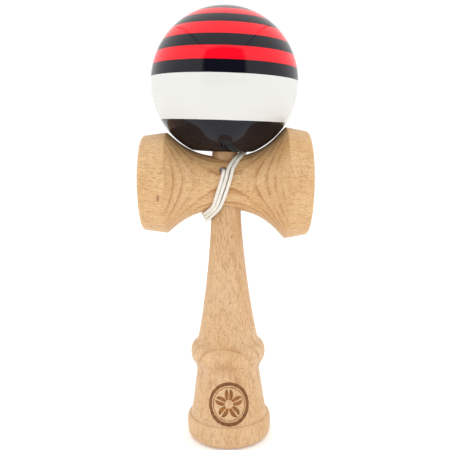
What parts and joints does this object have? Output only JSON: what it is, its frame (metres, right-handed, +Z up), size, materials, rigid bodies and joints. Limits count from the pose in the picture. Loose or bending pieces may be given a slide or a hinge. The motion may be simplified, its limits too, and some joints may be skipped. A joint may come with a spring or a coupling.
{
  "type": "kendama",
  "caption": "Wooden cup-and-ball toy: a spiked handle with a cross piece of two cups, a lacquered ball on the spike and a string wound round the cross piece.",
  "frame": {"origin": "centre of the base, on the plane it stands on", "axes": "+Z up along the handle and spike, +X from the handle towards the bigger cup, -Y the front with the burned mark"},
  "size_m": [0.0687, 0.0605, 0.1806],
  "materials": {
    "ken_wood": "sanded beech, grain along the handle, light satin",
    "sarado_wood": "sanded beech, grain along the cross piece, light satin",
    "tama_lacquer": "wood under high-gloss lacquer in black, red and white bands",
    "bead": "smooth moulded bead",
    "string": "fine white braid"
  },
  "bodies": {
    "ken": {"ken": "ken_wood"},
    "sarado": {"sarado": "sarado_wood", "tie_knot": "string", "string_wound": "string"},
    "tether": {"bead": "bead", "bead_knot": "string", "string_free": "string"},
    "tama": {"tama": "tama_lacquer"}
  },
  "joints": [
    {"name": "sarado_lift", "type": "slide", "parent": "ken", "child": "sarado", "axis": [0, 0, 1], "range_m": [0, 0.062]},
    {"name": "tama_lift", "type": "slide", "parent": "sarado", "child": "tether", "axis": [0, 0, 1], "range_m": [0, 0.042]},
    {"name": "tama_spin", "type": "hinge", "parent": "tether", "child": "tama", "pos_m": [0.00015, -0.00004, 0.14875], "axis": [0.0436, -0.0924, 0.9948], "continuous": true}
  ]
}
